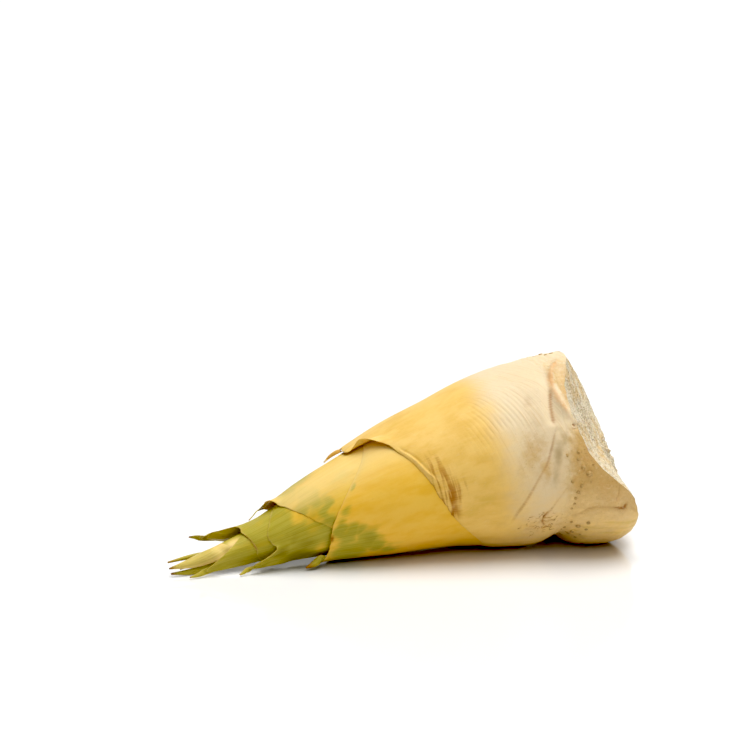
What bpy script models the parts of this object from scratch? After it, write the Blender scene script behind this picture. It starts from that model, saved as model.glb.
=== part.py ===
"""A fresh bamboo shoot, cut at its base and lying on its side.

The solid culm is wrapped in nested sheaths that take turns: one has its point on the upper side, the
next on the lower side. Each sheath ends in a leaf blade, and the innermost blades make the green tip.
The shoot lies along X, with its tip at -X and its cut base at +X, and it rests on Z = 0. Sizes are in
millimetres until they become mesh data. Angles round the shoot run from its top towards -Y.
"""
import math

import bmesh
import bpy
import numpy as np
from mathutils import Vector

MM = 0.001
ORIGIN = (-1.06, -5.48, 0.0)   # the middle of the shoot's box, which becomes the origin

# ---- driving dimensions, mm and degrees --------------------------------------------------------
# Outer radius of the outermost sheath, and of where it would run on past its own edge.
ENVELOPE = ((-92, 12.2), (-70, 15.5), (-50, 20.3), (-30, 25.1), (-10, 30.2), (12, 34.3),
            (32, 38.8), (52, 42.0), (76, 44.6), (88, 45.4))
# How far inside that envelope the lowest visible surface lies, which sets the centre line's height.
UNDERSIDE_DEPTH = ((-92, 6.3), (-66, 3.7), (-42, 1.3), (-10, 0.8), (12, -0.3), (40, -0.03), (70, 0),
                   (88, 0))
BUTT_START = 88.0        # from here the root end closes in like a dome
BUTT_LENGTH = 23.0
BUTT_ROUNDNESS = 2.2
SIDE_BEND = -9.0         # the base swings this far to the side, between these two stations
BEND_START = 38.0
BEND_END = 88.0
COLUMNS = 32             # faces round every ring
FLAT_HALF_ANGLE = 2 * math.pi / COLUMNS   # the thick half is flat underneath over this angle each way
FLAT_START = 16.0
FLAT_END = 34.0
PINCH_STATION = 65.0     # the underside draws in where the outer sheath meets the root end
PINCH_DEPTH = 6.5
PINCH_LENGTH = 6.5
CUT_POINT = (93.4, -8.0, 44.0)   # the slanted cut through the root end
CUT_NORMAL = (0.798, -0.428, 0.424)
CUTTER_SIZE = 200.0
ROOT_STATIONS = (66, 72, 80)   # rings between the outer sheath and the dome
BUTT_RINGS = 7
BUTT_REACH = 0.995       # the dome's last ring, as a share of its length, so it has some width
CULM_RING_SPACING = 15.0   # rings are added between sheaths that start further apart than this
STEP_GAP = 0.45          # from a sheath's start to the step in the culm

WALL = 0.95
GAP = 0.40
LAYER = WALL + GAP
TUBE_ROWS = 8
BLADE_ROWS = 7
PEAK_HALF_ANGLE = math.radians(12)   # a sheath's point narrows to nothing over this angle
LIFT_HALF_ANGLE = math.radians(38)   # and its edge springs outwards over this one
LIFT_LENGTH = 13.0
BLADE_ROOT = 0.35        # share of a blade over which it turns away from its sheath
SHORT_STEP = 0.02        # share of a blade that its direction is read over

# The sheaths from the outside in. start is where one grows from the culm and edge is its edge beside
# the point; apex is the side its point is on, drop how far the edge falls back on the other side, and
# power how late; peak is how far the point stands past the edge, and lift how far it springs out.
# Its blade takes span columns, and its middle runs through the points of blade, where its half width
# is in width, after the one at its root, and its outer side looks along facing. fold is how far its
# edges lie behind its middle, as a share of the half width.
SHEATHS = (
    dict(name="sheath_1", start=58, edge=-12, apex=-30, drop=44, power=2.6, peak=9, lift=1.6,
         span=2, blade=((-29, 9.5, 48.3), (-32.6, 8.6, 46.8), (-35.6, 8.6, 44.6)),
         width=(1.9, 1.5, 1.1, 0.5), facing=((-0.3, 0.2, 1), (-0.6, 0, 0.8), (-1, 0, 0.2)),
         fold=0.4),
    dict(name="sheath_2", start=36, edge=-42, apex=146, drop=28, power=2.1, peak=0, lift=0.2,
         span=2, blade=((-44, -13.6, 4.6), (-47.5, -13.8, 3.2), (-51.3, -14, 1.9)),
         width=(3.0, 2.9, 2.2, 0.5), facing=((0, -1, -0.3), (0, -1, 0.3), (0, -1, 0.4)),
         fold=0.15),
    dict(name="sheath_3", start=8, edge=-60, apex=-34, drop=38, power=1.9, peak=1, lift=2.4,
         span=2, blade=((-63.5, 4.6, 27.0), (-66, 2.2, 24.8), (-69, 0, 23.4)),
         width=(1.6, 0.9, 0.7, 0.4), facing=((-0.8, 0, 0.6), (-0.6, 0, 0.8), (0, 0, 1)),
         fold=0.3),
    dict(name="sheath_4", start=-18, edge=-69, apex=113, drop=17, power=2.0, peak=0, lift=0.6,
         span=4, blade=((-68.5, -12.3, 5.6), (-73.5, -12.6, 2.9), (-81.2, -12, 0.9)),
         width=(4.2, 3.7, 2.3, 0.4), facing=((0, -1, 0.1), (0, -1, 0.5), (0, -0.7, 0.7)),
         fold=0.35),
    dict(name="sheath_5", start=-34, edge=-77, apex=-34, drop=12, power=2.0, peak=0, lift=0.8,
         span=6, blade=((-82.5, 4, 17.4), (-90, 2.4, 16.2), (-99.6, 0, 16.4)),
         width=(3.2, 2.6, 2.0, 0.4), facing=((0, 0.8, 0.6), (0, 0.9, 0.4), (0, 0.9, 0.4)),
         fold=0.5),
    dict(name="sheath_6", start=-46, edge=-80, apex=101, drop=7, power=2.0, peak=0, lift=0.2,
         span=10, blade=((-84.5, -8.3, 5.2), (-92, -8.6, 2.4), (-102.8, -8, 1.4)),
         width=(7.0, 5.0, 2.2, 0.4), facing=((-0.2, -1, 0.1), (0, -1, 0.3), (0, -0.8, 0.6)),
         fold=0.35),
    dict(name="sheath_7", start=-58, edge=-84, apex=-11, drop=5, power=2.0, peak=0, lift=0,
         span=12, blade=((-90, -2.0, 10.2), (-99, -2.8, 7.2), (-110.8, -3.2, 4.4)),
         width=(5.0, 4.3, 2.8, 0.4), facing=((0, -0.4, 0.9), (0, -0.6, 0.8), (0, -0.6, 0.8)),
         fold=0.7),
    dict(name="sheath_8", start=-66, edge=-85, apex=146, drop=4, power=2.0, peak=0, lift=0,
         span=8, blade=((-90, -3.4, 3.0), (-99, -3.6, 2.0), (-110, -3, 1.7)),
         width=(2.0, 1.8, 1.5, 0.4), facing=((0, -0.9, -0.3), (0, -0.9, 0.1), (0, -0.9, 0.4)),
         fold=0.3),
    dict(name="sheath_9", start=-70, edge=-86, apex=191, drop=3, power=2.0, peak=0, lift=0,
         span=8, blade=((-91, 0.6, 3.7), (-97, 0.4, 2.9), (-105.2, 0, 2.0)),
         width=(2.0, 1.7, 1.3, 0.4), facing=((0, 0, -1), (0, -0.4, -0.9), (0, -0.6, -0.8)),
         fold=0.3),
)
CULM_END = -72.0
BUD_SIDES = 12
# The rolled leaf in the middle: station, side offset, height and radius.
BUD = ((-72.6, 0, 10.8, 2.7), (-79, 0, 9.0, 1.8), (-86, 0.1, 7.4, 0.9), (-93, 3.1, 6.9, 1.3),
       (-101, 2.6, 6.6, 1.0), (-110.4, 0.8, 5.8, 0.4))

COLOURS = {
    "culm": (0.80, 0.68, 0.47), "sheath_1": (0.86, 0.69, 0.35), "sheath_2": (0.80, 0.62, 0.19),
    "sheath_3": (0.66, 0.63, 0.18), "sheath_4": (0.52, 0.50, 0.10), "sheath_5": (0.56, 0.54, 0.15),
    "sheath_6": (0.58, 0.56, 0.17), "sheath_7": (0.70, 0.64, 0.28), "sheath_8": (0.53, 0.50, 0.12),
    "sheath_9": (0.53, 0.50, 0.12), "leaf_bud": (0.62, 0.58, 0.20),
}


# ---- the shoot's own curves ----------------------------------------------------------------------
def smooth_profile(points, x):
    """A smooth curve through (station, value) points, level beyond both ends."""
    stations, values = np.array(points, float).T
    slopes = np.gradient(values, stations)
    x = np.clip(x, stations[0], stations[-1])
    i = np.clip(np.searchsorted(stations, x) - 1, 0, len(stations) - 2)
    step = stations[i + 1] - stations[i]
    t = (x - stations[i]) / step
    return ((1 + 2 * t) * (1 - t) ** 2 * values[i] + t * (1 - t) ** 2 * step * slopes[i]
            + t * t * (3 - 2 * t) * values[i + 1] + t * t * (t - 1) * step * slopes[i + 1])


def ease(t):
    """0 to 1 without a corner at either end."""
    t = np.clip(t, 0, 1)
    return t * t * (3 - 2 * t)


def outer_radius(x, theta):
    """The outermost sheath's radius, with the root end's dome and the pinch under it."""
    dome = np.clip((x - BUTT_START) / BUTT_LENGTH, 0, 1)
    radius = smooth_profile(ENVELOPE, x) * (1 - dome ** BUTT_ROUNDNESS) ** (1 / BUTT_ROUNDNESS)
    below = np.clip(-np.cos(theta), 0, 1) ** 3
    return radius - PINCH_DEPTH * below * np.exp(-((x - PINCH_STATION) / PINCH_LENGTH) ** 2)


def place(x, theta, radius):
    """The point at a station, an angle and a distance from the curved centre line."""
    off_bottom = np.minimum(np.abs((theta % (2 * math.pi)) - math.pi), FLAT_HALF_ANGLE)
    pressed = ease((x - FLAT_START) / (FLAT_END - FLAT_START))
    flat = 1 - pressed * (1 - math.cos(FLAT_HALF_ANGLE) / np.cos(off_bottom))
    centre_y = SIDE_BEND * ease((x - BEND_START) / (BEND_END - BEND_START))
    lowest = smooth_profile(ENVELOPE, x) - smooth_profile(UNDERSIDE_DEPTH, x)
    centre_z = lowest * (1 - pressed * (1 - math.cos(FLAT_HALF_ANGLE)))
    return np.stack([x + 0 * theta, centre_y - radius * flat * np.sin(theta),
                     centre_z + radius * flat * np.cos(theta)], -1)


def from_apex(sheath, theta):
    """Angle from the side that a sheath's point is on, from -pi to pi."""
    return (theta - math.radians(sheath["apex"]) + math.pi) % (2 * math.pi) - math.pi


def edge_station(sheath, theta):
    """How far along the shoot a sheath's edge lies at each angle."""
    angle = from_apex(sheath, theta)
    return (sheath["edge"] + sheath["drop"] * np.abs(angle / math.pi) ** sheath["power"]
            - sheath["peak"] * np.exp(-(angle / PEAK_HALF_ANGLE) ** 2))


def sheath_tube(sheath, layer, rows):
    """Grid of points of a sheath's outer face, from where it starts to its edge."""
    theta = np.arange(COLUMNS) * 2 * math.pi / COLUMNS
    edge = edge_station(sheath, theta)
    along = (1 - np.cos(np.linspace(0, math.pi, rows + 1)[:, None])) / 2
    x = sheath["start"] + (edge - sheath["start"]) * along
    near_edge = np.clip(1 - (x - edge) / LIFT_LENGTH, 0, 1) ** 2
    spring = sheath["lift"] * near_edge * np.exp(-(from_apex(sheath, theta) / LIFT_HALF_ANGLE) ** 2)
    return place(x, theta + 0 * x, outer_radius(x, theta) - layer * LAYER + spring)


def sheath_blade(sheath, root, rows):
    """Grid of points of a blade's outer face, which grows from the row of points root."""
    across_share = np.linspace(-1, 1, len(root))[:, None]
    middle = root.mean(0)
    knots = np.linspace(0, 1, len(sheath["blade"]) + 1)
    spine_points = np.vstack([middle, sheath["blade"]])
    outward = np.array(sheath["facing"], float)
    facings = np.vstack([outward[0], outward])
    grid = []
    for share in np.linspace(0, 1, rows + 1)[1:]:
        spine = np.array([smooth_profile(np.c_[knots, spine_points[:, k]], share) for k in range(3)])
        ahead = np.array([smooth_profile(np.c_[knots, spine_points[:, k]], share - SHORT_STEP)
                          for k in range(3)])
        facing = np.array([smooth_profile(np.c_[knots, facings[:, k]], share) for k in range(3)])
        along = (spine - ahead) / np.linalg.norm(spine - ahead)
        across = np.cross(facing, along)
        across /= np.linalg.norm(across)
        facing = np.cross(along, across)
        half = smooth_profile(np.c_[knots, sheath["width"]], share)
        free = (spine + across * half * across_share
                - facing * sheath["fold"] * half * across_share ** 2)
        turned = ease(share / BLADE_ROOT)
        grid.append(free * turned + (root + spine - middle) * (1 - turned))
    return np.array(grid)


# ---- meshes --------------------------------------------------------------------------------------
def material(name, colour, roughness):
    finish = bpy.data.materials.new(name)
    finish.use_nodes = True
    shader = finish.node_tree.nodes["Principled BSDF"]
    shader.inputs["Base Color"].default_value = (*colour, 1)
    shader.inputs["Roughness"].default_value = roughness
    shader.inputs["Metallic"].default_value = 0
    return finish


def add_object(name, shape, collection):
    mesh = bpy.data.meshes.new(name)
    shape.to_mesh(mesh)
    shape.free()
    mesh.shade_smooth()
    item = bpy.data.objects.new(name, mesh)
    collection.objects.link(item)
    if name in COLOURS:
        mesh.materials.append(material(name, COLOURS[name], 0.5))
    return item


def world(point):
    """A point in metres from the origin."""
    return (Vector(point) - Vector(ORIGIN)) * MM


def add_grid(shape, points, closed):
    """Vertices and quads for rows of points; closed joins the last column to the first."""
    rows = [[shape.verts.new(world(p)) for p in row] for row in points]
    join_rows(shape, rows, closed)
    return rows


def join_rows(shape, rows, closed):
    count = len(rows[0])
    for near, far in zip(rows, rows[1:]):
        for j in range(count if closed else count - 1):
            k = (j + 1) % count
            shape.faces.new((near[j], far[j], far[k], near[k]))


def make_sheath(sheath, layer, collection):
    """A sheath and its blade as one open surface, given its wall by Solidify."""
    shape = bmesh.new()
    tube = sheath_tube(sheath, layer, TUBE_ROWS - layer // 2)
    rows = add_grid(shape, tube, closed=True)
    first = round(math.radians(sheath["apex"]) / (2 * math.pi) * COLUMNS - sheath["span"] / 2)
    columns = [(first + j) % COLUMNS for j in range(sheath["span"] + 1)]
    blade = sheath_blade(sheath, tube[-1][columns], BLADE_ROWS)
    blade_rows = [[rows[-1][j] for j in columns]]
    blade_rows += [[shape.verts.new(world(p)) for p in row] for row in blade]
    join_rows(shape, blade_rows, closed=False)
    item = add_object(sheath["name"], shape, collection)
    wall = item.modifiers.new("wall", "SOLIDIFY")
    wall.thickness = WALL * MM
    wall.offset = -1
    return item


def closed_loft(points):
    """A solid skin over rings of points, with a flat cap on the first and the last ring."""
    shape = bmesh.new()
    rows = add_grid(shape, points, closed=True)
    shape.faces.new(rows[0])
    shape.faces.new(list(reversed(rows[-1])))
    return shape


def make_culm(collection, cutters):
    """The solid culm: a step under each sheath's start, the root end, and the slanted cut."""
    stations = [(CULM_END, len(SHEATHS))]
    for layer in range(len(SHEATHS), 0, -1):
        start = SHEATHS[layer - 1]["start"]
        gap = start - stations[-1][0]
        stations += [(start - gap * k / 5, layer) for k in (4, 3, 2, 1) if gap > CULM_RING_SPACING]
        stations += [(start + STEP_GAP, layer), (start + STEP_GAP + WALL, layer - 1)]
    stations += [(x, 0) for x in ROOT_STATIONS]
    reach = BUTT_LENGTH * BUTT_REACH
    stations += [(BUTT_START + reach * math.sin(a), 0) for a in np.linspace(0, math.pi / 2, BUTT_RINGS)]
    theta = np.arange(COLUMNS) * 2 * math.pi / COLUMNS
    rings = [place(x, theta, outer_radius(x, theta) - layer * LAYER) for x, layer in stations]
    culm = add_object("culm", closed_loft(rings[::-1]), collection)
    cutter = cube("base_cut", CUTTER_SIZE, cutters)
    normal = Vector(CUT_NORMAL).normalized()
    cutter.rotation_mode = "QUATERNION"
    cutter.rotation_quaternion = normal.to_track_quat("X", "Z")
    cutter.location = world(Vector(CUT_POINT) + normal * CUTTER_SIZE / 2)
    cut = culm.modifiers.new("base_cut", "BOOLEAN")
    cut.operation = "DIFFERENCE"
    cut.solver = "EXACT"
    cut.object = cutter
    return culm


def cube(name, size, collection):
    shape = bmesh.new()
    bmesh.ops.create_cube(shape, size=size * MM)
    item = add_object(name, shape, collection)
    item.hide_render = True
    item.display_type = "WIRE"
    return item


def make_bud(collection):
    """The rolled leaf in the middle, round in section and drawn out to a point."""
    theta = np.arange(BUD_SIDES) * 2 * math.pi / BUD_SIDES
    rings = [np.stack([x + 0 * theta, y - r * np.sin(theta), z + r * np.cos(theta)], -1)
             for x, y, z, r in BUD]
    return add_object("leaf_bud", closed_loft(rings), collection)


def clear_scene():
    for item in list(bpy.data.objects):
        bpy.data.objects.remove(item, do_unlink=True)


def new_collection(name):
    collection = bpy.data.collections.new(name)
    bpy.context.scene.collection.children.link(collection)
    return collection


def main():
    clear_scene()
    shoot = new_collection("bamboo_shoot")
    cutters = new_collection("cutters")
    make_culm(shoot, cutters)
    for layer, sheath in enumerate(SHEATHS):
        make_sheath(sheath, layer, shoot)
    make_bud(shoot)


main()
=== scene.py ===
"""The looks of a fresh bamboo shoot that lies on a white table, with its cut base to the right.

Every sheath is remade as a dense shell over the same curves as its solid, with its wrinkles, laps,
lifted margins and curled blade. The culm gets its slanted cut, its root buds and the creased skin of
its root end. Sizes are in millimetres until they become mesh data. The shoot runs along X, tip at -X,
and angles round it are measured from its top towards -Y, the side that faces the camera.
"""
import math

import bpy
import numpy as np
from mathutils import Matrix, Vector


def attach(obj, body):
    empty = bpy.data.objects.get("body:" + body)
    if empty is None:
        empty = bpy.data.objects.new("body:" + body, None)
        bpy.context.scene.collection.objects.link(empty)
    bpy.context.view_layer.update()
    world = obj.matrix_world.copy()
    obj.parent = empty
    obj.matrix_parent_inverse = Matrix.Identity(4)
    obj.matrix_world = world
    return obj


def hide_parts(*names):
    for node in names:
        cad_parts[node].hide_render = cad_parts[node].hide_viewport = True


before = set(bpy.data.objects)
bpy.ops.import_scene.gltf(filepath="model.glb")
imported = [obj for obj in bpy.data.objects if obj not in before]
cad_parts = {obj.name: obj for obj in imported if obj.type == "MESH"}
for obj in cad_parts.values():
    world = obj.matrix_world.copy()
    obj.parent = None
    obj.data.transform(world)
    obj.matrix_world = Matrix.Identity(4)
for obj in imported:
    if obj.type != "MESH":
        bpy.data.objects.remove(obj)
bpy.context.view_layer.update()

MM = 0.001
FULL_TURN = 2 * math.pi

# ---- driving dimensions, the same as the solids have, mm ------------------------------------------
ORIGIN = (-1.06, -5.48, 0.0)
ENVELOPE = ((-92, 12.2), (-70, 15.5), (-50, 20.3), (-30, 25.1), (-10, 30.2), (12, 34.3),
            (32, 38.8), (52, 42.0), (76, 44.6), (88, 45.4))
UNDERSIDE_DEPTH = ((-92, 6.3), (-66, 3.7), (-42, 1.3), (-10, 0.8), (12, -0.3), (40, -0.03), (70, 0),
                   (88, 0))
BUTT_START, BUTT_LENGTH, BUTT_ROUNDNESS = 88.0, 23.0, 2.2
SIDE_BEND, BEND_START, BEND_END = -9.0, 38.0, 88.0
COARSE_COLUMNS = 32      # faces round the solids' rings, in which a blade's root width is counted
FLAT_HALF_ANGLE = FULL_TURN / COARSE_COLUMNS
FLAT_START, FLAT_END = 16.0, 34.0
PINCH_STATION, PINCH_DEPTH, PINCH_LENGTH = 65.0, 6.5, 6.5
CUT_POINT, CUT_NORMAL = (93.4, -8.0, 44.0), (0.798, -0.428, 0.424)
CULM_END = -72.0
WALL = 0.95
LAYER = 1.35

# ---- the sheaths, from the outside in -------------------------------------------------------------
# margin: (degrees, station) of the edge, all the way round. lift: height in mm, degrees, spread in
# degrees below and above, and length in mm of the place where the edge stands away from the shoot.
# span: columns of the blade's root. girth: radius to which the vein pattern is drawn.
SHEATHS = (
    dict(name="sheath_1", start=60.0, apex=-30, span=2, girth=38, columns=352, rows=226, blade_rows=36,
         margin=((-180, 34), (-150, 29), (-110, 10), (-75, -5), (-52, -15), (-38, -22), (-30, -25),
                 (-18, -28), (-5, -29.5), (3, -29), (9, -26), (14, -22.6), (20, -19.6), (27, -16),
                 (33, -13.3), (41, -11.1), (49, -8.5), (57, -6), (65, -3.6), (74, -0.8), (89, 3.2),
                 (99, 6.6), (113, 11.6), (124, 17), (137, 23.8), (150, 29.5), (165, 33)),
         lift=(3.8, 11.5, 2.8, 14, 10), blade=((-30, 8.6, 47.6), (-33.4, 8.2, 45.8), (-36.6, 8.4, 42.6)),
         width=(2.4, 1.5, 1.1, 0.5), facing=((-0.3, -0.3, 1), (-0.6, -0.4, 0.8), (-1, -0.2, 0.2)),
         fold=0.7),
    dict(name="sheath_2", start=36.0, apex=146, span=2, girth=30, columns=288, rows=130, blade_rows=30,
         margin=((-180, -38), (-140, -32), (-90, -24), (-45, -20), (-10, -20), (10, -22), (23, -24.4),
                 (38, -28.3), (52, -33), (67, -37.1), (81, -40.2), (96, -42), (114, -42.3),
                 (127, -42.2), (146, -43.5), (163, -41.5)),
         lift=(0.4, 146, 20, 20, 6), blade=((-45.2, -14.4, 4.4), (-48.5, -14.6, 3.3), (-52.4, -14.2, 1.6)),
         width=(2.8, 2.2, 1.5, 0.4), facing=((0, -1, -0.3), (0, -0.9, 0.4), (0, -0.8, 0.7)),
         fold=0.45),
    dict(name="sheath_3", start=8.0, apex=-34, span=2, girth=22, columns=256, rows=100, blade_rows=30,
         margin=((-180, -31), (-140, -38), (-100, -50), (-60, -60), (-34, -65.5), (-18, -65.3),
                 (-4, -64.4), (10, -61.8), (23, -59.8), (37, -57.8), (53, -54.5), (67, -50.9),
                 (78, -47.8), (86, -44.6), (97, -41), (112, -36.5), (140, -31)),
         lift=(2.2, -4, 20, 11, 9), blade=((-68.2, 7.0, 23.6), (-70.4, 6.0, 21.8), (-72.6, 5.0, 20.0)),
         width=(1.7, 1.0, 0.7, 0.3), facing=((-0.4, 0.3, 0.8), (-0.4, 0.2, 0.8), (0, 0, 1)), fold=0.3),
    dict(name="sheath_4", start=-18.0, apex=121, span=1, girth=17, columns=256, rows=100,
         blade_rows=24,
         margin=((-180, -57), (-140, -52), (-90, -52), (-45, -56), (-21, -59), (0, -62.8), (30, -66),
                 (45, -67.2), (60, -68.4), (75, -68), (88, -66.6), (95, -65.2), (101, -65.8),
                 (107, -69), (113, -73), (119, -76.4), (125, -76), (131, -72), (138, -66), (150, -60)),
         lift=(2.6, 119, 18, 24, 12), blade=((-78.6, -11.6, 2.4), (-80.2, -12.0, 1.6), (-81.8, -12.2, 1.0)),
         width=(1.4, 1.0, 0.7, 0.3), facing=((0, -0.9, 0.3), (0, -0.8, 0.5), (0, -0.7, 0.7)),
         fold=0.3),
    dict(name="sheath_5", start=-34.0, apex=-52, span=3, girth=13, columns=224, rows=90, blade_rows=40,
         margin=((-180, -66), (-140, -68), (-110, -71), (-92, -77), (-78, -83.5), (-64, -88.5),
                 (-52, -90.5), (-42, -89), (-33, -85), (-24, -80.5), (-12, -78.2), (12, -77.8), (33, -77),
                 (57, -75.4), (75, -74), (87, -73.2), (109, -72.6), (130, -71), (155, -68)),
         lift=(4.2, -48, 40, 26, 14), blade=((-93.6, 7.6, 13.7), (-96.6, 6.4, 14.5), (-99.8, 5, 15.1)),
         width=(2.6, 1.9, 1.1, 0.4), facing=((0, 0.8, 0.6), (0, 0.9, 0.4), (0, 0.95, 0.3)), fold=0.3),
    dict(name="sheath_6", start=-46.0, apex=112, span=2, girth=9, columns=224, rows=100, blade_rows=30,
         margin=((-180, -72), (-120, -72), (-60, -74), (-20, -76), (10, -78), (31, -79.8),
                 (50, -82.4), (68, -85.8), (84, -89.6), (98, -93), (108, -95), (118, -94.6),
                 (128, -89), (140, -81), (155, -75)),
         lift=(2.6, 112, 40, 30, 15), blade=((-98, -8.4, 2.0), (-100.6, -8.6, 1.4), (-103, -8.6, 1.1)),
         width=(1.6, 1.1, 0.7, 0.3), facing=((0, -0.9, 0.3), (0, -0.9, 0.4), (0, -0.8, 0.6)), fold=0.3),
    dict(name="sheath_7", start=-58.0, apex=-4, span=14, girth=7, columns=192, rows=44, blade_rows=76,
         margin=((-180, -76), (-100, -80), (-50, -84), (-4, -86), (40, -84), (90, -80)),
         lift=(0.0, 0, 30, 30, 6), blade=((-91.5, -2.2, 10.0), (-99.5, -2.9, 7.0), (-110.8, -3.2, 4.3)),
         width=(5.2, 4.4, 2.9, 0.4), facing=((0, -0.4, 0.9), (0, -0.6, 0.8), (0, -0.6, 0.8)),
         fold=0.7),
    dict(name="sheath_8", start=-66.0, apex=146, span=8, girth=6, columns=160, rows=32, blade_rows=64,
         margin=((-180, -84), (-90, -81), (0, -81), (90, -84), (146, -85)),
         lift=(0.0, 0, 30, 30, 6), blade=((-91, -3.4, 3.0), (-99, -3.6, 2.0), (-110, -3, 1.7)),
         width=(2.6, 2.2, 1.6, 0.4), facing=((0, -0.9, -0.3), (0, -0.9, 0.1), (0, -0.9, 0.4)),
         fold=0.4),
    dict(name="sheath_9", start=-70.0, apex=191, span=8, girth=5, columns=128, rows=24, blade_rows=54,
         margin=((-180, -86), (-90, -84), (0, -83), (90, -84)),
         lift=(0.0, 0, 30, 30, 6), blade=((-91, 0.6, 3.9), (-97, 0.4, 3.2), (-105.2, 0, 2.2)),
         width=(2.2, 1.8, 1.3, 0.4), facing=((0, 0, -1), (0, -0.4, -0.9), (0, -0.6, -0.8)),
         fold=0.3),
)


# ---- curves and noise -----------------------------------------------------------------------------
def smooth_profile(points, x):
    """A smooth curve through (station, value) points, level beyond both ends."""
    stations, values = np.array(points, float).T
    slopes = np.gradient(values, stations)
    x = np.clip(x, stations[0], stations[-1])
    i = np.clip(np.searchsorted(stations, x) - 1, 0, len(stations) - 2)
    step = stations[i + 1] - stations[i]
    t = (x - stations[i]) / step
    return ((1 + 2 * t) * (1 - t) ** 2 * values[i] + t * (1 - t) ** 2 * step * slopes[i]
            + t * t * (3 - 2 * t) * values[i + 1] + t * t * (t - 1) * step * slopes[i + 1])


def ease(t):
    t = np.clip(t, 0, 1)
    return t * t * (3 - 2 * t)


def turn(angle):
    """The angle brought to between -pi and pi."""
    return (angle + math.pi) % FULL_TURN - math.pi


def past(theta, degrees):
    """How far an angle lies past a place that is given in degrees, in radians."""
    return turn(theta - np.radians(degrees))


def bell(offset, width):
    return np.exp(-(offset / width) ** 2)


def bell_angle(theta, degrees, width):
    """1 at an angle and falling away over a width, both in degrees, with no seam."""
    return bell(past(theta, degrees), np.radians(width))


def stacked(*parts):
    """Arrays of any matching shapes as the last axis of one."""
    return np.stack(np.broadcast_arrays(*parts), -1)


def unit(vector):
    return vector / np.linalg.norm(vector)


def noise(p, seed=0):
    """Smooth value noise from -1 to 1 at an array of 3D points."""
    cell = np.floor(p).astype(np.int64)
    t = p - cell
    t = t * t * (3 - 2 * t)
    total = 0
    for corner in np.ndindex(2, 2, 2):
        at = (cell + corner) @ np.array([374761393, 668265263, 1103515245]) + seed * 144665
        at = (at ^ (at >> 13)) * 1274126177
        level = ((at ^ (at >> 16)) & 0xFFFF) / 32767.5 - 1
        total = total + np.prod(np.where(corner, t, 1 - t), -1) * level
    return total


def fractal(p, octaves=3, seed=0):
    return sum(noise(p * 2 ** k, seed + k) / 2 ** k for k in range(octaves))


def grain(x, theta, radius=40.0, along=1.0):
    """A point that runs round with the angle and along with the station, so that it has no seam."""
    return stacked(radius * np.cos(theta), radius * np.sin(theta), along * x)


def spot(x, theta, station, degrees, length, width):
    """A soft oval patch: 1 at its middle, length along the shoot and width round it in mm."""
    return bell(x - station, length) * bell(past(theta, degrees) * smooth_profile(ENVELOPE, x), width)


def spots(x, theta, patches, wander=2.2):
    """The strongest of (station, degrees, length, width, strength) patches, with wandering outlines."""
    p = grain(x, theta) / 7
    x = x + wander * fractal(p, 2, 91)
    theta = theta + wander / 30 * fractal(p, 2, 93)
    level = 0 * x * theta
    for *place_and_size, strength in patches:
        level = np.maximum(level, strength * spot(x, theta, *place_and_size))
    return level


def near_path(x, theta, path, samples=28):
    """Distance from a path of (station, degrees) points, to its left if positive, and a weight that
    fades out at both of its ends."""
    knots = np.linspace(0, 1, len(path))
    share = np.linspace(0, 1, samples)
    stations, degrees = [smooth_profile(np.c_[knots, values], share) for values in zip(*path)]
    girth = smooth_profile(ENVELOPE, stations.mean())
    angles = np.radians(degrees)
    best = np.full(np.broadcast(x, theta).shape, 1e9)
    side, where = np.zeros_like(best), np.zeros_like(best)
    for k in range(samples - 1):
        along, around = x - stations[k], turn(theta - angles[k]) * girth
        step, swing = stations[k + 1] - stations[k], (angles[k + 1] - angles[k]) * girth
        f = np.clip((along * step + around * swing) / (step * step + swing * swing), 0, 1)
        distance = np.hypot(along - f * step, around - f * swing)
        closer = distance < best
        best = np.where(closer, distance, best)
        side = np.where(closer, np.sign(along * swing - around * step), side)
        where = np.where(closer, (k + f) / (samples - 1), where)
    return best * side, ease(where / END_FADE) * ease((1 - where) / END_FADE)


def ridge(x, theta, path, width):
    """1 along a path, falling away over width, and fading out at its ends."""
    distance, weight = near_path(x, theta, path)
    return bell(distance, width) * weight


def flap(x, theta, path, reach, sharp):
    """1 beside a path on its left, falling away over reach, and dropping sharply to 0 across it."""
    distance, weight = near_path(x, theta, path)
    return ease(distance / sharp + 0.5) * bell(np.maximum(distance, 0), reach) * weight


# ---- the shoot's own shape ------------------------------------------------------------------------
def base_radius(x, theta):
    dome = np.clip((x - BUTT_START) / BUTT_LENGTH, 0, 1)
    radius = smooth_profile(ENVELOPE, x) * (1 - dome ** BUTT_ROUNDNESS) ** (1 / BUTT_ROUNDNESS)
    below = np.clip(-np.cos(theta), 0, 1) ** 3
    return radius - PINCH_DEPTH * below * bell(x - PINCH_STATION, PINCH_LENGTH)


def place(x, theta, radius):
    """The point at a station, an angle and a distance from the curved centre line."""
    off_bottom = np.minimum(np.abs((theta % FULL_TURN) - math.pi), FLAT_HALF_ANGLE)
    pressed = ease((x - FLAT_START) / (FLAT_END - FLAT_START))
    flat = 1 - pressed * (1 - math.cos(FLAT_HALF_ANGLE) / np.cos(off_bottom))
    centre_y = SIDE_BEND * ease((x - BEND_START) / (BEND_END - BEND_START))
    lowest = smooth_profile(ENVELOPE, x) - smooth_profile(UNDERSIDE_DEPTH, x)
    centre_z = lowest * (1 - pressed * (1 - math.cos(FLAT_HALF_ANGLE)))
    return stacked(x, centre_y - radius * flat * np.sin(theta), centre_z + radius * flat * np.cos(theta))


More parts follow.
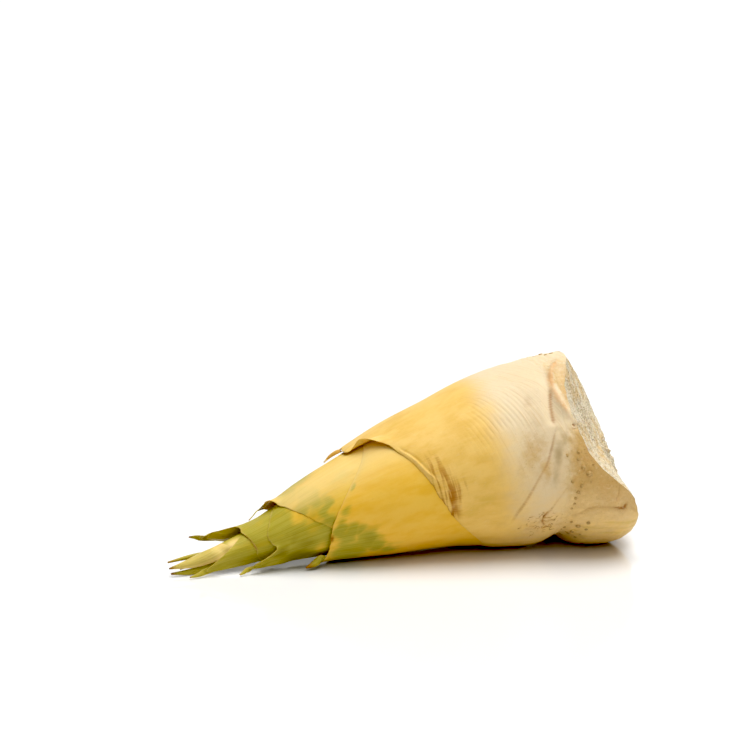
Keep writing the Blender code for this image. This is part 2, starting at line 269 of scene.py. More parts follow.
def edge_station(sheath, theta):
    """Station of a sheath's edge at an angle, from its margin points taken round and round."""
    points = [(degrees + lap, station) for lap in (-360, 0, 360) for degrees, station in sheath["margin"]]
    return smooth_profile(points, np.degrees(turn(theta)))


def ragged_edge(sheath, theta):
    """The edge with the small waves and nicks of a real margin."""
    p = grain(0, theta, 30)
    nicks = 0.3 * noise(p / 4, 3) + 0.22 * noise(p / 1.3, 4) + 0.12 * noise(p / 0.6, 5)
    return edge_station(sheath, theta) + min(sheath["girth"] / 20, 1) * nicks


def at_blade(sheath, theta):
    """1 over the columns that run on into the blade, and 0 away from them."""
    half = math.radians(sheath["span"] * 360 / COARSE_COLUMNS / 2)
    return ease((half + 0.14 - np.abs(past(theta, sheath["apex"]))) / 0.22)


# ---- relief ---------------------------------------------------------------------------------------
# Lines in the skin of the root end: their (station, degrees) points, the height and width of their
# relief in mm, and the strength and width of the brown in them; in the recess it is painted shade.
# The recess: a soft valley, darkened with painted shade along its lip.
RECESS = ((60.5, 22), (59.0, 28), (57.6, 34), (56.3, 40), (55.2, 46), (54.7, 52), (54.4, 57), (54.2, 62))
FOLD_EDGE = ((56.4, 57), (54.6, 63), (52.9, 69), (51.2, 76), (49.4, 83), (47.0, 89), (45.1, 94),
             (43.3, 99), (41.2, 105), (38.2, 113), (36.6, 121), (34, 130))
SECOND_FOLD = ((59.0, 97), (57.3, 100.5), (54.8, 107), (53.0, 113), (51.4, 118), (51.0, 123))
DEEP_CREASE = ((52.6, 113), (50.9, 119), (51.2, 124), (53.5, 128), (58.5, 130))
PEACH_RIDGE = ((71, 3), (66.7, 12), (63.6, 17), (60.9, 23), (58.5, 33), (58.6, 43), (59.2, 48),
               (60.6, 54), (61.6, 60))
LOBE_CRACK = ((60, 119), (64.8, 118.5), (68, 115), (71.4, 113), (75.6, 113.5), (79.4, 114),
              (83.4, 115), (84.4, 112.5), (86.5, 110.5))
SIDE_CRACK = ((80.6, 97), (80.2, 101), (80.3, 105.5), (79.7, 108.5), (80.9, 111))
SHORT_CRACK = ((61.2, 61), (62.8, 62), (64.5, 61.4), (66.4, 63))
SKIN_EDGE = ((60.4, 63), (62.0, 64), (64.2, 64), (66, 65))
SKIN_LINES = ((RECESS, -1.1, 2.6, 0.2, 2.0), (FOLD_EDGE, -0.22, 0.5, 0.5, 0.45),
              (SECOND_FOLD, 0, 1, 0.35, 0.35), (DEEP_CREASE, -0.7, 0.7, 0.5, 0.5),
              (PEACH_RIDGE, 1.2, 1.6, 0, 1), (LOBE_CRACK, -0.55, 0.7, 0.42, 0.7),
              (SIDE_CRACK, -0.5, 0.45, 0.5, 0.35), (SHORT_CRACK, -1.1, 0.6, 0.9, 0.55),
              (SKIN_EDGE, -0.5, 0.45, 0.5, 0.4))
# Steps in the skin: their points, height, reach to the left and sharpness, in mm.
SKIN_STEPS = ((FOLD_EDGE, 1.15, 6.0, 0.9), (SECOND_FOLD, 0.35, 4.0, 0.5), (LOBE_CRACK[::-1], 1.0, 11, 2.6))
ROLLED_LIP = ((-12.4, 35), (-10.4, 41.5), (-8.1, 47.5), (-5.8, 54), (-4.4, 58.5), (-2.0, 66),
              (0.5, 72), (3.2, 78.5))
BUD_SPOTS = ((66.7, 91, 1.25), (64.2, 87, 1.0), (57.8, 79, 0.7), (62.6, 78, 0.7), (62.4, 82, 0.7),
             (60.1, 95, 0.8), (63.8, 98, 0.85), (62.8, 102, 0.75), (62.1, 106, 0.65),
             (62.2, 110, 0.6), (61.5, 113.5, 0.55), (67.6, 96, 0.5), (68.4, 86, 0.5))
BUD_RADIUS = 43          # distance of the near root buds from the centre line
BUD_HALO = 2.2           # the skin swells and puckers this far round a root bud
BUD_SWELL = 0.30
END_FADE = 0.18          # share of a line's length over which each of its ends fades out
HOLLOW_DEPTH = 2.6       # the outer sheath's inner face keeps clear of the hollows in its outer one
HOLLOW_START = 43
MARGIN_WALL = 0.2        # a sheath's wall at its edge, and how far back it thins
THINNING = 6.0
MARGIN_GAP = 0.06        # clearance under an edge that lies down on the next sheath
SETTLE_LENGTH = 4.0
SHEATH_END = 57.0        # where the outer sheath's own relief has died out into the root end's
BLADE_WALL, BLADE_EDGE_WALL = 0.40, 0.10
BLADE_LEAD = 0.4         # share of the way to its first point that a blade runs on straight
UNDULATION = 0.28        # height of the slow waves that all layers share
WRINKLE_PITCH, WRINKLE_DEPTH, WRINKLE_WIDTH = 2.1, 0.26, 0.17


def wrinkle_phase(x, theta):
    """Station less that of the curved wrinkle through it, so it is constant along each wrinkle."""
    rise = past(theta, 24) / math.radians(40)
    return x - 12.6 * np.sign(rise) * np.abs(rise) ** 0.7


def undulation(x, theta):
    return UNDULATION * noise(grain(x, theta) / 17, 30)


def torn_fibres(x, theta):
    """The pattern, from -1 to 1, of the fibres that lie bare where the skin is torn."""
    round_mm = turn(theta - 2.1) * 42
    return noise(stacked((x + 0.35 * round_mm) / 5, round_mm / 0.75, 0), 21)


def near_buds(x, theta):
    """Distance from each near root bud over its size, and the sizes."""
    for station, degrees, size in BUD_SPOTS:
        yield np.hypot(x - station, past(theta, degrees) * BUD_RADIUS) / size, size


def root_end_relief(x, theta):
    """Creases, folds and torn places where the last sheath meets the root end."""
    p = grain(x, theta)
    relief = 0.16 * noise(p / 5.5, 61) + 0.05 * noise(p / 1.6, 62) - 0.8 * spot(x, theta, 65.5, 28, 3.0, 10)
    for path, height, width, _, _ in SKIN_LINES:
        relief = relief + height * ridge(x, theta, path, width)
    for path, height, reach, sharp in SKIN_STEPS:
        relief = relief + height * flap(x, theta, path, reach, sharp)
    relief = relief + 0.17 * fractal(p / (2.4, 2.4, 1.4), 3, 65) * ease((x - 53) / 8)
    torn = np.minimum(spot(x, theta, 52, 122, 6.5, 7) + spot(x, theta, 47, 129, 5, 4.5), 1)
    relief = relief + torn * (0.3 * torn_fibres(x, theta) + 0.35 * fractal(p / 1.8, 3, 22) - 0.2)
    for away, size in near_buds(x, theta):
        away = away / BUD_HALO
        relief = relief + BUD_SWELL * size * bell(away, 1) * (0.6 + 0.4 * np.cos(away * 5))
    return relief


def relief_outer(x, theta):
    """The outermost sheath: wrinkles gathered towards the base, a rolled lip, and the root end."""
    p = grain(x, theta)
    phase = wrinkle_phase(x, theta) + 0.8 * noise(p / 8, 8)
    wrinkles = bell((phase / WRINKLE_PITCH) % 1 - 0.5, WRINKLE_WIDTH)
    band = bell(x - 33, 11) * bell_angle(theta, 44, 24) * ease(0.55 + 0.9 * noise(p / 5, 9))
    gather = ease((x - 24) / 22) * (0.4 + 0.6 * bell_angle(theta, 20, 60))
    relief = 0.09 * gather * noise(grain(phase, theta) * (0.12, 0.12, 1), 11)
    relief = relief - WRINKLE_DEPTH * wrinkles * band
    relief = relief + 0.75 * ridge(x, theta, ROLLED_LIP, 0.6) - 0.30 * ridge(x - 1.4, theta, ROLLED_LIP, 0.5)
    relief = relief - 0.20 * spot(x, theta, 46, 42, 4, 4) - 0.9 * spot(x, theta, 43, 74, 7, 16)
    return relief * ease((SHEATH_END - x) / 8) + root_end_relief(x, theta) * ease((x - 30) / 6)


def relief_inner(sheath, x, theta):
    """The inner sheaths are smooth, with fine lengthwise ribs."""
    ribs = noise(grain(x, theta, sheath["girth"], 0.04) / (0.9, 0.9, 1), 31)
    return 0.035 * ribs + 0.05 * noise(grain(x, theta) / 4, 32)


def lap_relief(sheath, x, theta):
    """The step where the sheath's one side laps over its other, on the side away from its point."""
    side = past(theta - math.pi + 0.12, sheath["apex"])
    step = 0.9 / smooth_profile(ENVELOPE, x)
    return 0.5 * ease(side / step + 0.5) * np.exp(-np.maximum(side, 0) * 4)


def sheath_radius(sheath, layer, x, theta):
    """Distance of a sheath's outer face from the centre line."""
    from_edge = np.clip(x - edge_station(sheath, theta), 0, None)
    height, degrees, below, above, length = sheath["lift"]
    spread = np.where(past(theta, degrees) > 0, above, below)
    spring = height * np.clip(1 - from_edge / length, 0, 1) ** 2 * bell_angle(theta, degrees, spread)
    lying = 1 - np.maximum(at_blade(sheath, theta), np.minimum(spring / 0.5, 1))
    settle = (LAYER - MARGIN_WALL - MARGIN_GAP) * np.exp(-from_edge / SETTLE_LENGTH) * lying
    own = relief_inner(sheath, x, theta) if layer else relief_outer(x, theta)
    own = own * ease(from_edge / 3 + 0.25 * (layer == 0))
    lap = lap_relief(sheath, x, theta) * ease(from_edge / 8) * ease((SHEATH_END - x) / 8)
    sink = 0 if layer else 0.12 * ease((x - 57.5) / 2)
    return (base_radius(x, theta) - layer * LAYER + undulation(x, theta) + spring - settle + own + lap
            - sink)


def belt_radius(x, theta):
    """The root end's skin, which comes up through the end of the outer sheath."""
    relief = root_end_relief(x, theta) + undulation(x, theta)
    own = 0.06 * noise(grain(x, theta) / (1.1, 1.1, 5), 64) * ease((x - 60) / 3)
    return base_radius(x, theta) + relief + own - 0.12 * ease((59.5 - x) / 2) - 2 * ease((58 - x) / 3)


def blade_frame(sheath, root, behind, share):
    """Middle, direction, facing and half width of a blade at a share of its length."""
    middle = root.mean(0)
    reach = BLADE_LEAD * np.linalg.norm(np.array(sheath["blade"][0]) - middle)
    points = np.vstack([middle, middle + unit(middle - behind.mean(0)) * reach, sheath["blade"]])
    knots = np.r_[0, np.cumsum(np.linalg.norm(np.diff(points, axis=0), axis=1))]
    knots = knots / knots[-1]
    named = np.r_[knots[0], knots[2:]]
    facings = np.vstack([sheath["facing"][0], sheath["facing"]])
    spine, before = [np.array([smooth_profile(np.c_[knots, points[:, k]], at) for k in range(3)])
                     for at in (share, share - 0.02)]
    facing = np.array([smooth_profile(np.c_[named, facings[:, k]], share) for k in range(3)])
    return spine, unit(spine - before), facing, smooth_profile(np.c_[named, sheath["width"]], share)


def sheath_blade(sheath, root, behind):
    """Grid of points of a blade's outer face, which grows from the row of points root."""
    across_share = np.linspace(-1, 1, len(root))[:, None]
    grid = []
    for share in np.linspace(0, 1, sheath["blade_rows"] + 1)[1:]:
        spine, along, facing, half = blade_frame(sheath, root, behind, share)
        across = unit(np.cross(facing, along))
        facing = np.cross(along, across)
        free = spine + half * (across * across_share - facing * sheath["fold"] * across_share ** 2)
        turned = ease(share / 0.4)
        grid.append(free * turned + (root + spine - root.mean(0)) * (1 - turned))
    return np.array(grid)


# ---- mesh making ----------------------------------------------------------------------------------
def quads(index):
    """Faces between rows of vertex numbers; rows run towards the tip and angles grow along a row."""
    near, far = index[:-1], index[1:]
    return np.stack([near[:, :-1], far[:, :-1], far[:, 1:], near[:, 1:]], -1).reshape(-1, 4)


def ring_index(first, rows, columns):
    """Vertex numbers of closed rings, with the first column again at the end."""
    index = first + np.arange(rows * columns).reshape(rows, columns)
    return np.hstack([index, index[:, :1]])


def capped_tube(rows, columns):
    """Faces of a tube of closed rings, with a face over each end."""
    index = ring_index(0, rows, columns)
    return [*quads(index), index[0][:-1], index[-1][:-1][::-1]]


def in_scene(name, data):
    item = bpy.data.objects.new(name, data)
    bpy.context.scene.collection.objects.link(item)
    return item


def smooth_mesh(name, metres, faces, layers):
    """A mesh in the scene with layers of numbers, vectors or colours on its points, given by name."""
    mesh = bpy.data.meshes.new(name)
    mesh.from_pydata(metres.tolist(), [], [list(map(int, face)) for face in faces])
    mesh.update()
    mesh.shade_smooth()
    for layer, values in layers.items():
        values = np.asarray(values, np.float32)
        kind, field = {1: ("FLOAT", "value"), 3: ("FLOAT_VECTOR", "vector"),
                       4: ("FLOAT_COLOR", "color")}[values.size // len(metres)]
        mesh.attributes.new(layer, kind, "POINT").data.foreach_set(field, values.ravel())
    return in_scene(name, mesh)


def on_table(points):
    """Points of the shoot in metres, moved to where it lies on the table."""
    points = np.asarray(points, float) - np.array(ORIGIN)
    points[:, 2] = np.maximum(points[:, 2], 0.02)
    return points * MM


def surface_normals(grid, towards):
    """Unit normals of an open grid, on the side that towards points to."""
    normal = np.cross(np.gradient(grid, axis=0), np.gradient(grid, axis=1))
    normal /= np.linalg.norm(normal, axis=-1, keepdims=True) + 1e-12
    return normal * np.sign((normal * towards).sum(-1).mean())


def tube_stations(sheath, theta, outer_sheath):
    """Stations of the rows: a tenth of them under the sheath outside, and the rest where it shows."""
    edge = ragged_edge(sheath, theta)
    start, rows = sheath["start"], sheath["rows"]
    if outer_sheath is None:
        return start + (edge - start) * np.linspace(0, 1, rows + 1)[:, None]
    hidden = max(rows // 10, 4)
    shows = np.maximum(np.minimum(edge_station(outer_sheath, theta) + 4, start - 2), edge + 3)
    covered = start + (shows - start) * np.linspace(0, 1, hidden + 1)[:-1, None]
    seen = shows + (edge - shows) * np.linspace(0, 1, rows - hidden + 1)[:, None]
    return np.vstack([covered, seen])


def build_blade(sheath, layer, outer, inner):
    """Outer and inner face of a blade, which grows from its columns of the sheath's edge."""
    blade = sheath_blade(sheath, outer[-1], outer[-4])
    across = np.linspace(-1, 1, outer.shape[1])
    down = np.linspace(0, 1, sheath["blade_rows"] + 1)[1:, None]
    normal = surface_normals(np.vstack([outer[-1][None], blade]), outer[-1] - inner[-1])[1:]
    inland = 1 - across ** 4
    thick = BLADE_EDGE_WALL + (BLADE_WALL - BLADE_EDGE_WALL) * inland * (1 - 0.6 * down)
    thick = MARGIN_WALL + (thick - MARGIN_WALL) * ease(down * 6)
    rib = noise(stacked(across * (outer.shape[1] - 1) / 2.5, 0, down), 40 + layer)
    blade = blade + normal * (0.07 * rib * ease(down * 6) * inland)[..., None]
    return blade, blade - normal * thick[..., None], down, across


def build_sheath(sheath, layer):
    """A closed shell: outer face, margin, inner face and blade, with its paint."""
    columns = sheath["columns"]
    theta = np.arange(columns) * FULL_TURN / columns
    x = tube_stations(sheath, theta, SHEATHS[layer - 1] if layer else None)
    angle = theta + 0 * x
    outer = place(x, angle, sheath_radius(sheath, layer, x, angle))
    x_in = x[0] + (x[-1] - x[0]) * (1 - (1 - np.linspace(0, 1, INNER_ROWS)[:, None]) ** 2.2)
    angle_in = theta + 0 * x_in
    wall = MARGIN_WALL + (WALL - MARGIN_WALL) * ease((x_in - x[-1]) / THINNING)
    wall = wall + HOLLOW_DEPTH * ease((x_in - HOLLOW_START) / 5)
    inner = place(x_in, angle_in, sheath_radius(sheath, layer, x_in, angle_in) - wall)
    width = sheath["span"] * columns // COARSE_COLUMNS
    first = round(math.radians(sheath["apex"]) / FULL_TURN * columns - width / 2)
    cols = (first + np.arange(width + 1)) % columns
    blade, blade_in, down, across = build_blade(sheath, layer, outer[:, cols], inner[:, cols])

    rows = len(x)
    outer_index = ring_index(0, rows, columns)
    inner_index = ring_index(rows * columns, INNER_ROWS, columns)
    count = blade[..., 0].size
    blade_index = (rows + INNER_ROWS) * columns + np.arange(count).reshape(blade.shape[:2])
    loops = [np.hstack([front, back[:, ::-1], front[:, :1]])
             for front, back in ((outer_index[-1:, cols], inner_index[-1:, cols]),
                                 (blade_index, blade_index + count))]
    margin = quads(np.stack([outer_index[-1], inner_index[-1]]))
    faces = [quads(outer_index), quads(inner_index)[:, ::-1],
             quads(np.stack([inner_index[0], outer_index[0]])),
             margin[~np.isin(np.arange(columns), cols[:-1])], quads(np.vstack(loops)),
             quads(np.stack([blade_index[-1], blade_index[-1] + count]))]

    length = np.linalg.norm(np.diff(blade[:, width // 2], axis=0), axis=1).sum()
    blade_x = x[-1][cols] - down * length
    grids = ((x, angle), (x_in, angle_in)) + ((blade_x, theta[cols] + 0 * blade_x),) * 2
    paints = [paint_sheath(layer, sheath, *grid) for grid in grids[:2]]
    paints += [paint_blade(layer, down, across)] * 2
    for paint, grid in zip(paints, grids):
        paint["grain"] = grain(*grid, sheath["girth"])
    layers = {key: np.concatenate([paint[key].reshape(-1, paint[key].shape[-1]) for paint in paints])
              for key in paints[0]}
    points = np.concatenate([part.reshape(-1, 3) for part in (outer, inner, blade, blade_in)])
    return smooth_mesh(sheath["name"] + "_leaf", on_table(points), np.concatenate(faces), layers)


# ---- paint ----------------------------------------------------------------------------------------
# "tint" holds shares of green tissue, dry brown, pale tissue and depth of green; the brown also holds
# painted shade, the pale painted highlights and the depth of green painted shade.
# "skin" holds shares of tan root skin, peach, grey film and golden streaks; in the hollow on the outer
# sheath's lower side the tan and grey are partly painted shade.
# "crease" holds the wrinkles' phase in mm, the distance along them in mm, and their strength.
# Each patch is (station, degrees, length, width, strength); the sheaths' go by their number from 0.
GREEN_PATCHES = {
    0: ((20, 100, 9, 12, 1.0), (38, 74, 7, 9, 0.7), (57, 60, 4, 3, 0.6)),
    1: ((-38, 100, 3.5, 6, 1.0), (-33, 103, 4, 5, 0.95), (-35, 113, 6, 7, 0.85), (-26, 120, 6, 8, 1.0),
        (-29, 104, 4, 4, 0.8), (-21, 127, 5, 6, 1.0), (-15, 138, 6, 6, 0.8), (-36, 78, 2.6, 4, 0.6),
        (-33, 135, 9, 9, 1.0), (-32.4, 53, 1.5, 2.2, 0.75), (-30, -50, 8, 12, 0.9),
        (-33, -95, 8, 14, 1.0), (-36, -140, 8, 14, 1.0), (-34, 175, 12, 14, 1.0)),
    2: ((-57, 8, 5, 8, 1.0), (-52, 30, 5, 8, 1.0), (-47.5, 43, 3.8, 8, 1.0), (-44.5, 63, 3, 7, 0.9),
        (-53, 48, 4, 6, 0.85), (-35, 33, 4.5, 4, 0.7), (-43, 82, 4, 5, 0.8), (-50, -30, 8, 12, 1.0),
        (-52, -70, 10, 16, 1.0), (-44, -120, 9, 16, 1.0), (-42, 175, 10, 16, 1.0),
        (-38, 130, 8, 12, 1.0)),
}
DEEP_PATCHES = {
    1: ((-25, 119, 5, 6, 0.5), (-36, 100, 3, 5, 0.3), (-33, 135, 8, 8, 0.4), (-16, 138, 5, 5, 0.3)),
    2: ((-51, 28, 5, 8, 0.25),),
    3: ((-60, 84, 3.5, 7, 0.4), (-56, 93, 5, 7, 0.5), (-52, 108, 7, 6, 0.6), (-63, 110, 5, 8, 0.7),
        (-55, 130, 10, 8, 0.9)),
}
GOLD_PATCHES = {
    3: ((-53.4, 49, 5, 8, 1.0), (-50, 62, 4, 7, 0.8), (-49, 84, 4, 5, 0.5), (-58, 32, 3, 5, 0.5),
        (-45.5, 124, 3, 7, 0.6)),
    4: ((-70, 20, 3, 5, 0.4),),
}
# The second and third tan patches and the last two grey ones lie in the hollow on the outer sheath's lower
# side, where they are partly painted shade.
TAN_AND_SHADE_PATCHES = ((48.5, 86, 4.0, 6, 0.8), (44, 75, 6, 10, 0.8), (37, 84, 6, 8, 0.7), (36, 66, 5, 7, 0.3))
PEACH_PATCHES = ((66, 82, 4, 6, 1.0), (74, 98, 4, 6, 0.8), (80, 108, 4, 4, 0.8), (62, 96, 3, 5, 0.6))
GREY_AND_SHADE_PATCHES = ((56.4, 68, 2.6, 5, 0.8), (54.6, 78, 3.0, 8, 1.0), (53.6, 90, 3.2, 8, 0.7),
                (47.5, 60, 5, 9, 0.4), (42, 62, 7, 7, 0.3))
PALE_PATCHES = ((54, 96, 7, 9, 1.0), (46, 105, 7, 7, 0.8), (38, 112, 6, 6, 0.5), (68, 108, 6, 9, 0.7),
                (60, 118, 5, 5, 0.9), (72, 90, 4, 7, 0.4))
BRUISES = ((7.4, 92, 4.8, 10, 0.8), (4.8, 78, 4.6, 8, 0.75), (10, 105, 3.8, 7, 0.7),
           (2.4, 66, 4.0, 6, 0.6), (0.8, 57, 3.5, 5, 0.4), (12, 90, 3.6, 8, 0.55))
STAINS = ((46.5, 42, 3.2, 4, 1.0), (41, 33, 2, 3, 0.5))


def pale_share(x, theta):
    """The outer sheath and the root end are cream where they grew underground."""
    pale = ease((x - 14 - 10 * (1 - np.cos(theta - 0.5))) / 34)
    pale = pale * (0.15 + 0.85 * bell_angle(theta, 20, 105))
    return np.maximum(pale, 0.55 * spots(x, theta, PALE_PATCHES))


def root_end_shares(x, theta):
    """Shares of tan, peach, grey, gold and brown that the outer sheath and the culm both wear, with painted
    shade in the brown of the recess and in the tan and grey of the hollow.
    """
    p = grain(x, theta)
    wavy = x + 1.1 * noise(p / 4, 63) + 1.5 * noise(p / 1.7, 68)
    lobe = ease(turn(theta - math.radians(112) + 0.05 * noise(p / 3, 69)) / 0.3) * ease((x - 62) / 6)
    hidden = 1 - bell_angle(theta, 60, 100)
    tan = 0.9 * ease((wavy - 54) / 10) * ease((turn(theta - 0.95)) / 0.3) * (np.cos(theta - 1.6) > 0)
    tan = np.maximum(tan, 0.7 * ease((wavy - 58.5) / 3) * bell_angle(theta, 34, 26))
    tan = tan * (1 - 0.35 * ease(past(theta, 94) / 0.3))
    tan = np.maximum(tan, 0.8 * ease((wavy - 55) / 8) * ease((hidden - 0.35) / 0.3))
    tan = np.maximum(tan, 0.85 * spots(x, theta, TAN_AND_SHADE_PATCHES, 1.5)) * (1 - 0.6 * lobe)
    peach = (0.5 * ridge(x, theta, PEACH_RIDGE, 1.5) + 0.4 * spot(x, theta, 63.5, 45, 2.2, 7)
             + 0.25 * spot(x, theta, 59, 26, 1.6, 6) + 0.35 * spots(x, theta, PEACH_PATCHES))
    streaked = 0.6 + 0.4 * noise(p / (1.6, 1.6, 9), 70)
    gold = 0.8 * streaked * lobe * ease((math.radians(175) - turn(theta - 0.1)) / 0.9)
    torn = np.minimum(spot(x, theta, 52, 122, 6.0, 6) + spot(x, theta, 47, 129, 5, 4), 1)
    brown = (0.3 * torn * ease(0.45 - 0.9 * torn_fibres(x, theta))
             + 0.5 * ridge(x, theta, LOBE_CRACK, 0.6) * ease((x - 78) / 5)
             # the recess's wall next to its lip, darkened as painted shade
             + 0.45 * ridge(x - 0.3, theta, RECESS[2:], 0.9))
    for path, _, _, strength, width in SKIN_LINES:
        brown = brown + strength * ridge(x, theta, path, width)
    for away, _ in near_buds(x, theta):
        brown = brown + 0.25 * bell(away, 1.3)
    return tan, peach, spots(x, theta, GREY_AND_SHADE_PATCHES, 1.5), gold, brown


def paint_outer_sheath(sheath, x, theta):
    from_edge = np.clip(x - edge_station(sheath, theta), 0, None)
    pale = np.maximum(pale_share(x, theta), 0.25 * ridge(x, theta, ROLLED_LIP, 0.6))
    pale = pale + 0.15 * ease((x - 22) / 16) * ease((SHEATH_END - x) / 9)
    beside = turn(theta - 1.4)
    slanted = x - 8 * beside
    streaks = (noise(stacked(slanted, beside * 3, 0), 66)
               + 0.8 * noise(stacked(slanted / 0.45, beside * 6, 0), 67))
    tan, peach, grey, gold, brown = root_end_shares(x, theta)
    base = ease((x - 34) / 6)
    # The brown holds bruises, stains and a dark margin; the extra brown round 24 degrees along the lifted
    # hood's edge is painted shade under the lip.
    brown = (brown * base + spots(x, theta, BRUISES, 0.8) * (0.34 + 0.86 * ease(0.5 + 0.8 * streaks))
             + (0.2 + 0.3 * bell_angle(theta, 95, 30)) * np.exp(-from_edge / 0.45)
             + 0.4 * spots(x, theta, STAINS) + 0.35 * bell_angle(theta, 24, 11) * np.exp(-from_edge))
    green = 0.22 * spots(x, theta, GREEN_PATCHES[0])
    strength = ease((x - 14) / 20) * bell_angle(theta, 40, 55)
    return {"tint": np.clip(stacked(green, brown, pale, 0), 0, 1),
            "skin": np.clip(stacked(tan, peach, grey, gold) * base[..., None], 0, 1),
            "crease": stacked(wrinkle_phase(x, theta), theta * 40, strength)}


def paint_sheath(layer, sheath, x, theta):
    """Colour shares of a sheath's tube, at stations and angles."""
    if layer == 0:
        return paint_outer_sheath(sheath, x, theta)
    from_edge = np.clip(x - edge_station(sheath, theta), 0, None)
    green = spots(x, theta, GREEN_PATCHES.get(layer, ()))
    deep = spots(x, theta, DEEP_PATCHES.get(layer, ()))
    brown = 0.35 * np.exp(-from_edge / 0.35)
    # Paler round the top, at 22 degrees: a painted highlight, which only the second and third sheaths keep.
    pale = 0.75 * bell_angle(theta, 22, 38)
    if layer == 1:
        brown = brown + 0.8 * spot(x, theta, -41.6, 108, 0.9, 2.4)
        pale = pale + 0.3 * np.exp(-from_edge / 1.2)
    if layer > 2:
        green = 1 - spots(x, theta, GOLD_PATCHES.get(layer, ()), 1.2)
        pale = 0.5 * np.exp(-from_edge / 0.7)
    if layer > 3:
        # Deeper green towards the underside, by 1 - cos of the angle, is painted shade; the noise is the
        # leaf's own mottling.
        deep = 0.05 + 0.2 * noise(grain(x, theta) / 9, 50 + layer) + 0.08 * (1 - np.cos(theta))
    # The seventh sheath's pale peach patch by its blade is a painted highlight.
    if layer == 6:
        pale = np.maximum(pale, 0.9 * spot(x, theta, -82, 40, 4, 9))
    return {"tint": np.clip(stacked(green, brown, pale, deep), 0, 1)}


def paint_blade(layer, down, across):
    """Colour shares of a blade: pale edges and a dry tip, and on the seventh sheath's blade a painted
    highlight near its root.
    """
    flat = 0 * down + 0 * across
    if layer == 0:
        pale = ease((down - 0.85) / 0.1) + flat
        brown = 0.55 * ease(down / 0.3) - pale
        return {"tint": np.clip(stacked(0, brown, pale, 0), 0, 1),
                "skin": np.zeros((*flat.shape, 4)), "crease": np.zeros((*flat.shape, 3))}
    dry_from = 0.45 if layer == 1 else 0.84
    dry = ease((down - dry_from) / (1 - dry_from))
    green = 0.95 - 0.5 * dry + flat
    brown = 0.85 * dry + 0.35 * np.abs(across) ** 10
    pale = 0.5 * np.abs(across) ** 5 * ease(down * 4)
    # The seventh sheath's blade is paler throughout, and the extra pale near its root and middle is a
    # painted highlight.
    if layer == 6:
        pale = pale + 0.45 + 0.55 * ease((0.36 - down) / 0.36) * (1 - np.abs(across))
    deep = 0.5 * (1 - down) ** 2 * (layer < 6) + 0.1
    return {"tint": np.clip(stacked(green, brown, pale, deep), 0, 1)}


# ---- the culm -------------------------------------------------------------------------------------
CULM_COLUMNS, CULM_ROWS, CUT_ROWS, INNER_ROWS = 416, 84, 70, 15
SKIN_START = 55.0
NEAR_RIM = ((-6, 74.5), (5, 72.8), (13, 70.6), (22, 67.9), (30, 65.2), (37, 63.4), (47, 62.5),
            (54, 62.3), (60, 63.1), (66, 64.0), (72, 65.3), (79, 66.9), (84, 69.4), (88, 71.7),
            (93, 75.4), (99, 80.4), (106, 86), (114, 90), (124, 93), (136, 96))


def cut_rim(theta):
    """Station where the cut meets the skin: a plane's, but for the near side's notch and lip."""
    normal = unit(np.array(CUT_NORMAL))
    low = np.full_like(theta, 40.0)
    high = np.full_like(theta, BUTT_START + BUTT_LENGTH - 0.05)
    for _ in range(40):
        middle = (low + high) / 2
        beyond = (place(middle, theta, base_radius(middle, theta)) - np.array(CUT_POINT)) @ normal > 0
        high = np.where(beyond, middle, high)
        low = np.where(beyond, low, middle)
    degrees = np.degrees(turn(theta))
    own = ease((degrees + 20) / 22) * ease((152 - degrees) / 26)
    p = grain(0, theta, 44)
    rough = 0.25 * noise(p / 3.5, 71) + 0.14 * noise(p / 1.2, 72)
    return low + (smooth_profile(NEAR_RIM, degrees) - low) * own + rough


